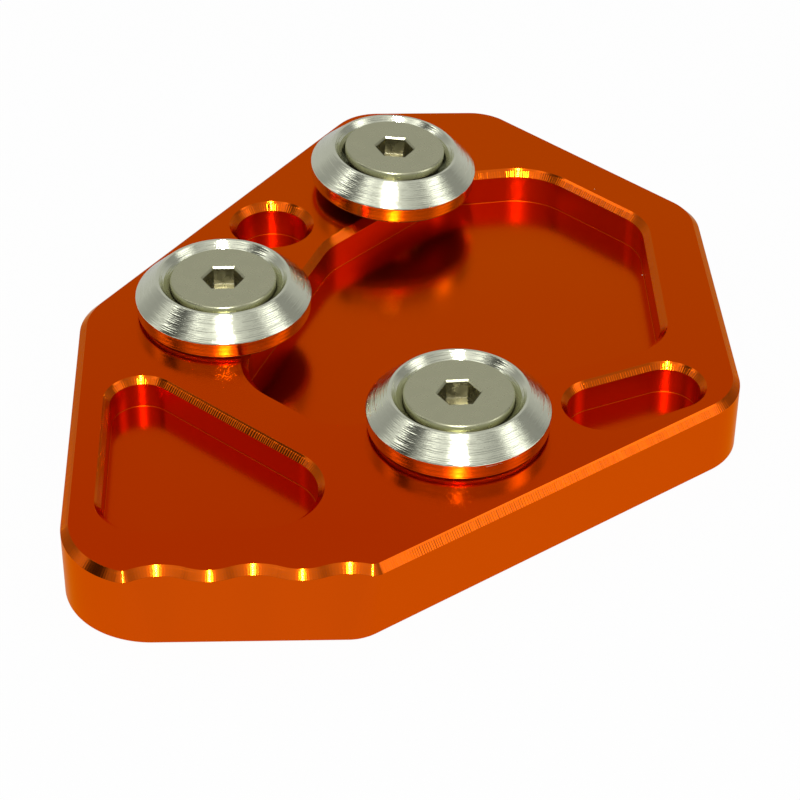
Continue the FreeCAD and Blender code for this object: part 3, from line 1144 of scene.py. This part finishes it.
@dataclass(frozen=True)
class AnodisedFinish(Finish):
    """Glossy orange anodising on milled aluminium. Heights and depths are in millimetres."""

    name: str = "anodised_orange"
    # Painted light: the walls get a darker colour as painted shade, the chamfers a lighter,
    # yellower one as painted highlight.
    wall: tuple = (0.62, 0.074, 0.001, 1.0)
    chamfer: tuple = (0.80, 0.116, 0.002, 1.0)
    # Painted light: the flats grow lighter and yellower from the near side to the far side.
    near: tuple = (0.80, 0.052, 0.001, 1.0)
    far: tuple = (0.84, 0.092, 0.001, 1.0)
    near_to_far: tuple = (-0.03, 0.03)
    edge_tint: tuple = (1.0, 0.65, 0.3, 1.0)
    speck: tuple = (0.75, 0.62, 0.5, 1.0)
    floor_roughness: float = 0.19
    edge_roughness: float = 0.12
    wall_roughness: float = 0.32
    roughness_swing: float = 0.02
    cloud_scale: float = 45.0
    cloud_wander: float = 0.02
    grain_scale: float = 5000.0
    face_grain: float = 0.2
    chamfer_grain: float = 0.05
    dust_scale: float = 210.0
    dust_size: float = 0.014
    dust_share: float = 0.2
    coat: float = 0.09
    coat_roughness: float = 0.05
    mark_pitch: float = 0.3
    mark_depth: float = 0.014
    mark_unevenness: float = 0.25
    mark_top: float = 8.5
    mark_fade: float = 0.05
    rim_marks: float = 0.1
    scallop_marks: float = 0.2
    wall_marks: float = 0.04
    flat_slope: tuple = (0.9, 0.97)
    steep_slope: tuple = (0.25, 0.45)
    chamfer_foot: float = 7.6
    scallops_end: float = -40.5

    def dress(self, sheet: NodeSheet, effects: Effects, place: Socket, noise: dict) -> dict:
        """Draw walls, chamfers with tool marks, flats and specks, with painted light in their
        colours.
        """
        spot = sheet.add("ShaderNodeSeparateXYZ", {0: place}).outputs
        marks = sheet.add("ShaderNodeGroup", node_tree=effects.tool_marks, inputs={
            "Pitch": self.mark_pitch, "Unevenness": self.mark_unevenness}).outputs["Height"]
        dust = sheet.add("ShaderNodeGroup", node_tree=effects.dust, inputs={
            "Place": place, "Scale": self.dust_scale, "Size": self.dust_size,
            "Share": self.dust_share}).outputs["Mask"]

        normal = sheet.add("ShaderNodeNewGeometry").outputs["Normal"]
        slope = sheet.add("ShaderNodeSeparateXYZ", {0: normal}).outputs["Z"]
        slope = sheet.math("ABSOLUTE", slope)
        flat = sheet.ramp(slope, self.flat_slope)
        steep = sheet.ramp(slope, self.steep_slope)
        foot = self.chamfer_foot * MILLIMETRE
        raised = sheet.ramp(spot["Z"], (foot - 0.1 * MILLIMETRE, foot))
        steep = sheet.math("MULTIPLY", steep, sheet.math("MAXIMUM", flat, raised))
        chamfer = sheet.math("SUBTRACT", steep, flat)

        limits = [(self.mark_top + side * self.mark_fade) * MILLIMETRE for side in (-1, 1)]
        lines = sheet.math("MULTIPLY", chamfer, sheet.ramp(spot["Z"], limits, 1.0, self.rim_marks))
        front = self.scallops_end * MILLIMETRE
        behind = sheet.ramp(spot["Y"], (front - MILLIMETRE, front), self.scallop_marks, 1.0)
        lines = sheet.math("MULTIPLY", lines, behind)
        walls = sheet.math("SUBTRACT", 1.0, steep)
        lines = sheet.math("MULTIPLY_ADD", walls, self.wall_marks, lines)
        lines = sheet.math("MULTIPLY", marks, lines)
        grain = sheet.ramp(chamfer, (0.0, 1.0), self.face_grain, self.chamfer_grain)
        grain = sheet.math("MULTIPLY", noise["Grain"], grain)
        bump = sheet.add("ShaderNodeBump", {
            "Strength": 1.0, "Distance": self.mark_depth * MILLIMETRE,
            "Height": sheet.math("ADD", lines, grain)})

        # Painted light: the flats' colour shifts from the near colour to the far colour across the
        # plate.
        depth = sheet.math("MULTIPLY_ADD", noise["Cloud"], self.cloud_wander, spot["Y"])
        colour = sheet.blend(sheet.ramp(depth, self.near_to_far), self.near, self.far)
        # Painted light: walls take the darker painted-shade colour, chamfers the lighter
        # painted-highlight colour.
        colour = sheet.blend(flat, sheet.blend(steep, self.wall, self.chamfer), colour)
        specks = sheet.math("MULTIPLY", dust, flat)
        colour = sheet.blend(specks, colour, self.speck)
        rough = sheet.ramp(steep, (0.0, 1.0), self.wall_roughness, self.edge_roughness)
        rough = sheet.math("MULTIPLY_ADD", flat, self.floor_roughness - self.edge_roughness, rough)
        rough = sheet.math("SUBTRACT", rough, self.roughness_swing)
        rough = sheet.math("MULTIPLY_ADD", noise["Cloud"], 2 * self.roughness_swing, rough)
        return {
            "Base Color": colour, "Metallic": sheet.math("SUBTRACT", 1.0, specks),
            "Roughness": rough, "Normal": bump.outputs[0], "Specular Tint": self.edge_tint,
            "Coat Weight": sheet.ramp(chamfer, (0.0, 1.0), 0.0, self.coat),
            "Coat Roughness": self.coat_roughness}


@dataclass(frozen=True)
class TurnedFinish(Finish):
    """Bright aluminium with fine turning grooves round its own axis, in millimetres."""

    name: str = "turned_aluminium"
    colour: tuple = (0.88, 0.90, 0.72, 1.0)
    dull: tuple = (0.80, 0.82, 0.64, 1.0)
    # Painted shade: the band and the foot, underside included, get darker colours than the rest of
    # the washer.
    band_shade: tuple = (0.52, 0.47, 0.34, 1.0)
    foot: tuple = (0.26, 0.19, 0.12, 1.0)
    band_end: tuple = (8.7, 8.8)
    foot_end: tuple = (6.85, 6.95)
    roughness: tuple = (0.085, 0.165)
    roughness_cloud: tuple = (0.3, 0.7)
    band_dullness: float = 0.2
    cloud_scale: float = 420.0
    grain_scale: float = 5000.0
    grain: float = 0.25
    groove_pitch: float = 0.22
    groove_depth: float = 0.009
    groove_unevenness: float = 1.0
    groove_cloud: tuple = (0.35, 0.65)
    groove_share: tuple = (0.6, 1.2)
    streaks_round: float = 9.0
    streaks_across: float = 7.0
    streak_height: float = 2.2

    def dress(self, sheet: NodeSheet, effects: Effects, place: Socket, noise: dict) -> dict:
        """Draw grooves, streaks, the rougher band, and painted shade on the band and the foot."""
        grooves = sheet.add("ShaderNodeGroup", node_tree=effects.tool_marks, inputs={
            "Pitch": self.groove_pitch, "Unevenness": self.groove_unevenness}).outputs["Height"]

        run = sheet.add("ShaderNodeAttribute", attribute_name=ALONG).outputs["Fac"]
        vector = {"kind": "ShaderNodeVectorMath"}
        local = sheet.add("ShaderNodeAttribute", attribute_name=LOCAL).outputs["Vector"]
        level = sheet.math("MULTIPLY", local, (1.0, 1.0, 0.0), **vector)
        circle = sheet.math("NORMALIZE", level, **vector)
        stretch = (self.streaks_round, self.streaks_round, 0.0)
        circle = sheet.math("MULTIPLY", circle, stretch, **vector)
        across = sheet.math("MULTIPLY", run, self.streaks_across)
        across = sheet.add("ShaderNodeCombineXYZ", {2: across}).outputs[0]
        streaks = sheet.math("ADD", circle, across, **vector)
        streaks = sheet.add("ShaderNodeTexNoise", {"Vector": streaks, "Scale": 1.0, "Detail": 3.0})
        streaks = sheet.math("MULTIPLY", streaks.outputs["Fac"], self.streak_height)
        depth = sheet.ramp(noise["Cloud"], self.groove_cloud, *self.groove_share)
        height = sheet.math("MULTIPLY", grooves, depth)
        height = sheet.math("ADD", height, streaks)
        height = sheet.math("ADD", height, sheet.math("MULTIPLY", noise["Grain"], self.grain))
        bump = sheet.add("ShaderNodeBump", {
            "Strength": 1.0, "Distance": self.groove_depth * MILLIMETRE, "Height": height})

        colour = sheet.blend(noise["Cloud"], self.colour, self.dull)
        # Painted shade: the band and the foot with the underside are darkened, chosen by the
        # distance along the profile.
        on_band = sheet.ramp(run, self.band_end, 1.0, 0.0)
        colour = sheet.blend(on_band, colour, self.band_shade)
        colour = sheet.blend(sheet.ramp(run, self.foot_end, 1.0, 0.0), colour, self.foot)
        rough = sheet.ramp(noise["Cloud"], self.roughness_cloud, *self.roughness)
        rough = sheet.math("MULTIPLY_ADD", on_band, self.band_dullness, rough)
        return {"Base Color": colour, "Roughness": rough, "Normal": bump.outputs[0]}


@dataclass(frozen=True)
class ScrewFinish(Finish):
    """Satin grey steel with a faint tumbled grain."""

    name: str = "satin_steel"
    colour: tuple = (0.62, 0.62, 0.41, 1.0)
    dull: tuple = (0.54, 0.54, 0.36, 1.0)
    # Painted shade: a darker colour for the socket and the head's side.
    painted_shade: tuple = (0.34, 0.32, 0.22, 1.0)
    roughness: tuple = (0.23, 0.33)
    roughness_cloud: tuple = (0.3, 0.7)
    cloud_scale: float = 600.0
    grain_scale: float = 4500.0
    grain_depth: float = 0.02
    grain_strength: float = 0.25

    def dress(self, sheet: NodeSheet, effects: Effects, place: Socket, noise: dict) -> dict:
        """Draw the grain and the painted shade in the socket and on the side."""
        bump = sheet.add("ShaderNodeBump", {
            "Strength": self.grain_strength, "Distance": self.grain_depth * MILLIMETRE,
            "Height": noise["Grain"]})
        colour = sheet.blend(noise["Cloud"], self.colour, self.dull)
        # Painted shade: the socket and the head's side are darkened by the marked attribute.
        shade_share = sheet.add("ShaderNodeAttribute", attribute_name=PAINTED_SHADE).outputs["Fac"]
        colour = sheet.blend(shade_share, colour, self.painted_shade)
        rough = sheet.ramp(noise["Cloud"], self.roughness_cloud, *self.roughness)
        return {"Base Color": colour, "Roughness": rough, "Normal": bump.outputs[0]}


# Studio


@dataclass(frozen=True)
class Lamp:
    """Rectangular soft lamp aimed at the object's middle."""

    name: str
    azimuth: float
    elevation: float
    distance: float
    width: float
    height: float
    brightness: float

    def make(self) -> None:
        """Add the lamp. Azimuth 0 is on the camera's side and 90 on the right."""
        turn, lift = math.radians(self.azimuth), math.radians(self.elevation)
        out = math.cos(lift)
        way = Vector((math.sin(turn) * out, -math.cos(turn) * out, math.sin(lift)))
        data = bpy.data.lights.new(self.name, "AREA")
        data.shape = "RECTANGLE"
        data.size, data.size_y = self.width, self.height
        data.energy = self.brightness * math.pi * self.width * self.height
        lamp = bpy.data.objects.new(self.name, data)
        lamp.location = way * self.distance
        lamp.rotation_euler = way.to_track_quat("Z", "Y").to_euler()
        lamp.visible_camera = False
        bpy.context.scene.collection.objects.link(lamp)


@dataclass(frozen=True)
class DimZone:
    """Part of the surroundings that is dimmed: azimuths in radians, heights from -1 to 1."""

    fade_in: tuple[float, float]
    fade_out: tuple[float, float]
    heights: tuple[float, float]
    amounts: tuple[float, float]


@dataclass
class Studio:
    """Camera, floor, world and lamp."""

    camera_place: tuple = (-0.009008, -0.2395289, 0.1788426)
    camera_azimuth: float = 2.05
    camera_elevation: float = 37.2625
    camera_roll: float = 0.5973
    lens: float = 116.149
    sensor: float = 36.0
    clipping: tuple = (0.01, 20.0)
    floor_size: float = 4.0
    floor_height: float = -0.00002
    floor_paper: tuple = (0.78, 0.78, 0.78, 1.0)
    floor_seen: float = 0.965
    floor_mirrored: float = 0.85
    # Painted shade: in reflections the floor's glow is dimmed towards the back.
    floor_fading: tuple = (-0.01, 0.03)
    floor_fade: float = 0.5
    lamp: Lamp = Lamp("front_lamp", -1.0, 53.5, 0.9, 0.042, 0.3, 110.0)
    surroundings: tuple = (
        (-180, 0.48), (-137, 0.49), (-125, 0.36), (-110, 0.3), (-103, 0.45), (-99, 0.7),
        (-96, 1.9), (-89, 1.9), (-86, 0.4), (-84, 0.26), (-75, 0.1), (-66, 0.16), (-59, 0.55),
        (-52, 1.35), (-45, 1.2), (-34, 0.85), (-20, 0.82), (0, 0.7), (30, 0.68), (45, 0.5),
        (58, 0.6), (66, 1.15), (72, 1.7), (84, 1.8), (92, 1.6), (97, 0.7), (102, 0.3),
        (112, 0.25), (125, 0.4), (140, 0.48), (180, 0.48),
    )
    behind_camera: float = 0.33
    behind_sides: tuple = (0.95, 1.15)
    behind_heights: tuple = (0.66, 0.74)
    overhead: float = 0.5
    overhead_heights: tuple = (0.88, 0.96)
    dimming: float = 0.55
    dim_zones: tuple = (
        DimZone((0.9, 1.1), (1.6, 1.8), (0.62, 0.7), (0.0, 1.0)),
        DimZone((-1.75, -1.68), (-1.1, -1.0), (0.6, 0.65), (1.15, 0.0)),
        DimZone((1.4, 1.5), (1.72, 1.8), (0.545, 0.58), (1.15, 0.0)),
    )

    def camera(self) -> None:
        """Add the camera at the photograph's angle."""
        data = bpy.data.cameras.new("camera")
        data.lens = self.lens
        data.sensor_width = self.sensor
        data.clip_start, data.clip_end = self.clipping
        camera = bpy.data.objects.new("camera", data)
        angles = (self.camera_azimuth, self.camera_elevation, self.camera_roll)
        turn, lift, roll = (math.radians(angle) for angle in angles)
        out = math.cos(lift)
        view = Vector((math.sin(turn) * out, math.cos(turn) * out, -math.sin(lift)))
        level = view.cross(UP).normalized()
        upright = level.cross(view)
        right = level * math.cos(roll) + upright * math.sin(roll)
        up = upright * math.cos(roll) - level * math.sin(roll)
        axes = Matrix((right, up, -view)).transposed().to_4x4()
        camera.matrix_world = Matrix.Translation(self.camera_place) @ axes
        bpy.context.scene.collection.objects.link(camera)
        bpy.context.scene.camera = camera

    def floor(self) -> None:
        """Add the pale floor, which shows white to the camera and keeps the shadow."""
        bpy.ops.object.select_all(action="DESELECT")
        bpy.ops.mesh.primitive_plane_add(size=self.floor_size, location=(0, 0, self.floor_height))
        floor = bpy.context.active_object
        floor.name = "floor"
        material, sheet = plain_material("white_floor")
        rays = sheet.add("ShaderNodeLightPath").outputs
        paper = sheet.add("ShaderNodeBsdfDiffuse", {"Color": self.floor_paper})
        place = sheet.add("ShaderNodeTexCoord").outputs["Object"]
        depth = sheet.add("ShaderNodeSeparateXYZ", {0: place}).outputs["Y"]
        # Painted shade: in reflections the floor's white glow is dimmed behind the object.
        fading = sheet.ramp(depth, self.floor_fading, 0.0, self.floor_fade)
        fading = sheet.math("MULTIPLY", fading, rays["Is Glossy Ray"])
        glow = sheet.add("ShaderNodeEmission", {
            "Color": (1, 1, 1, 1), "Strength": sheet.math("SUBTRACT", 1.0, fading)})
        mirrored = sheet.math("MULTIPLY", rays["Is Glossy Ray"], self.floor_mirrored)
        seen = sheet.math("MULTIPLY_ADD", rays["Is Camera Ray"], self.floor_seen, mirrored)
        mix = sheet.add("ShaderNodeMixShader", {0: seen, 1: paper.outputs[0], 2: glow.outputs[0]})
        below = sheet.add("ShaderNodeNewGeometry").outputs["Backfacing"]
        clear = sheet.add("ShaderNodeBsdfTransparent")
        mix = sheet.add("ShaderNodeMixShader", {0: below, 1: mix.outputs[0], 2: clear.outputs[0]})
        sheet.add("ShaderNodeOutputMaterial", {"Surface": mix.outputs[0]})
        floor.data.materials.append(material)

    def world(self) -> None:
        """Set the soft surroundings."""
        world = bpy.data.worlds.new("studio")
        bpy.context.scene.world = world
        world.use_nodes = True
        sheet = NodeSheet(world.node_tree)
        way = sheet.add("ShaderNodeTexCoord").outputs["Generated"]
        parts = sheet.add("ShaderNodeSeparateXYZ", {0: way}).outputs
        height = parts["Z"]
        azimuth = sheet.math("ARCTAN2", parts["X"], sheet.math("MULTIPLY", parts["Y"], -1.0))
        round_about = sheet.add("ShaderNodeValToRGB", {
            0: sheet.math("MULTIPLY_ADD", azimuth, 1 / math.tau, 0.5)})
        stops = round_about.color_ramp.elements
        for degrees, _ in self.surroundings[1:-1]:
            stops.new(degrees / 360 + 0.5)
        for stop, (_, brightness) in zip(stops, self.surroundings):
            stop.color = (brightness,) * 3 + (1.0,)
        sideways = sheet.ramp(sheet.math("ABSOLUTE", azimuth), self.behind_sides, 1.0, 0.0)
        low = sheet.math("MULTIPLY", sideways, sheet.ramp(height, self.behind_heights, 1.0, 0.0))
        level = sheet.blend(low, round_about.outputs[0], self.behind_camera, "FLOAT")
        dimmed = 0.0
        for zone in self.dim_zones:
            beside = sheet.math("MULTIPLY", sheet.ramp(azimuth, zone.fade_in),
                                sheet.ramp(azimuth, zone.fade_out, 1.0, 0.0))
            share = sheet.math("MULTIPLY", beside, sheet.ramp(height, zone.heights, *zone.amounts))
            dimmed = sheet.math("ADD", dimmed, share)
        dimmed = sheet.math("MULTIPLY_ADD", dimmed, -self.dimming, 1.0)
        level = sheet.math("MULTIPLY", level, dimmed)
        high = sheet.ramp(height, self.overhead_heights)
        level = sheet.blend(high, level, self.overhead, "FLOAT")
        seen = sheet.add("ShaderNodeLightPath").outputs["Is Camera Ray"]
        glow = sheet.add("ShaderNodeBackground", {
            "Color": (1, 1, 1, 1), "Strength": sheet.blend(seen, level, 1.0, "FLOAT")})
        sheet.add("ShaderNodeOutputWorld", {"Surface": glow.outputs[0]})

    def make(self) -> None:
        """Set up the whole studio."""
        self.camera()
        self.floor()
        self.world()
        self.lamp.make()
        bpy.context.scene.view_settings.view_transform = "Standard"


def write_sizes() -> None:
    """Update the view layer."""
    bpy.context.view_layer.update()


def main() -> None:
    """Build the studio and the object's pieces in order."""
    Studio().make()
    effects = Effects.make()
    orange = AnodisedFinish().build(effects)
    silver = TurnedFinish().build(effects)
    grey = ScrewFinish().build(effects)
    plate = BasePlate()
    plate.make(orange)
    clamps = [
        Clamp("front", 5.12, -20.61, plate.thickness, socket_turn=3.0),
        Clamp("left", -20.53, 1.33, plate.thickness),
        Clamp("back", -0.95, 27.55, plate.thickness, socket_turn=-3.0, tilt=4.1,
              low_direction=-8.0, screw_lift=0.35, pivot=Vector((7.599, 26.348, 8.7)),
              lean=Vector((0.1952, -0.0274, 0.0))),
    ]
    for clamp in clamps:
        clamp.washer(silver)
        clamp.screw(grey)
    write_sizes()


if __name__ == "__main__":
    main()
